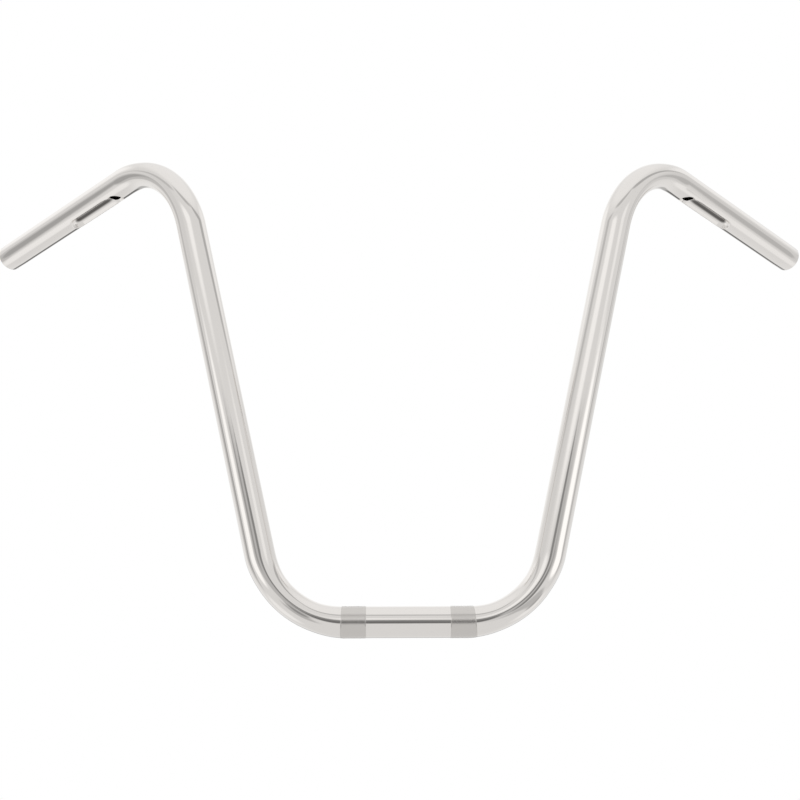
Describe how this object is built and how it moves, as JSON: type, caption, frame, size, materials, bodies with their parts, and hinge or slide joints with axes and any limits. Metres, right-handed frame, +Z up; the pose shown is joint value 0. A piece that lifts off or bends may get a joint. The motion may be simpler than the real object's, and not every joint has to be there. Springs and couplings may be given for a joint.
{
  "type": "motorcycle handlebar",
  "caption": "Tall chromed ape-hanger handlebar: a bent steel tube with knurled clamp bands, wiring dimples and holes, and open ends.",
  "frame": {"origin": "middle of the clamp section's centreline, midway between the two knurled bands", "axes": "+X sideways, +Y back towards the rider, +Z up along the plane of the uprights"},
  "size_m": [0.794, 0.1921, 0.4241],
  "materials": {
    "chrome_plate": "polished"
  },
  "bodies": {
    "root": {"handlebar_tube": "chrome_plate"}
  },
  "joints": []
}
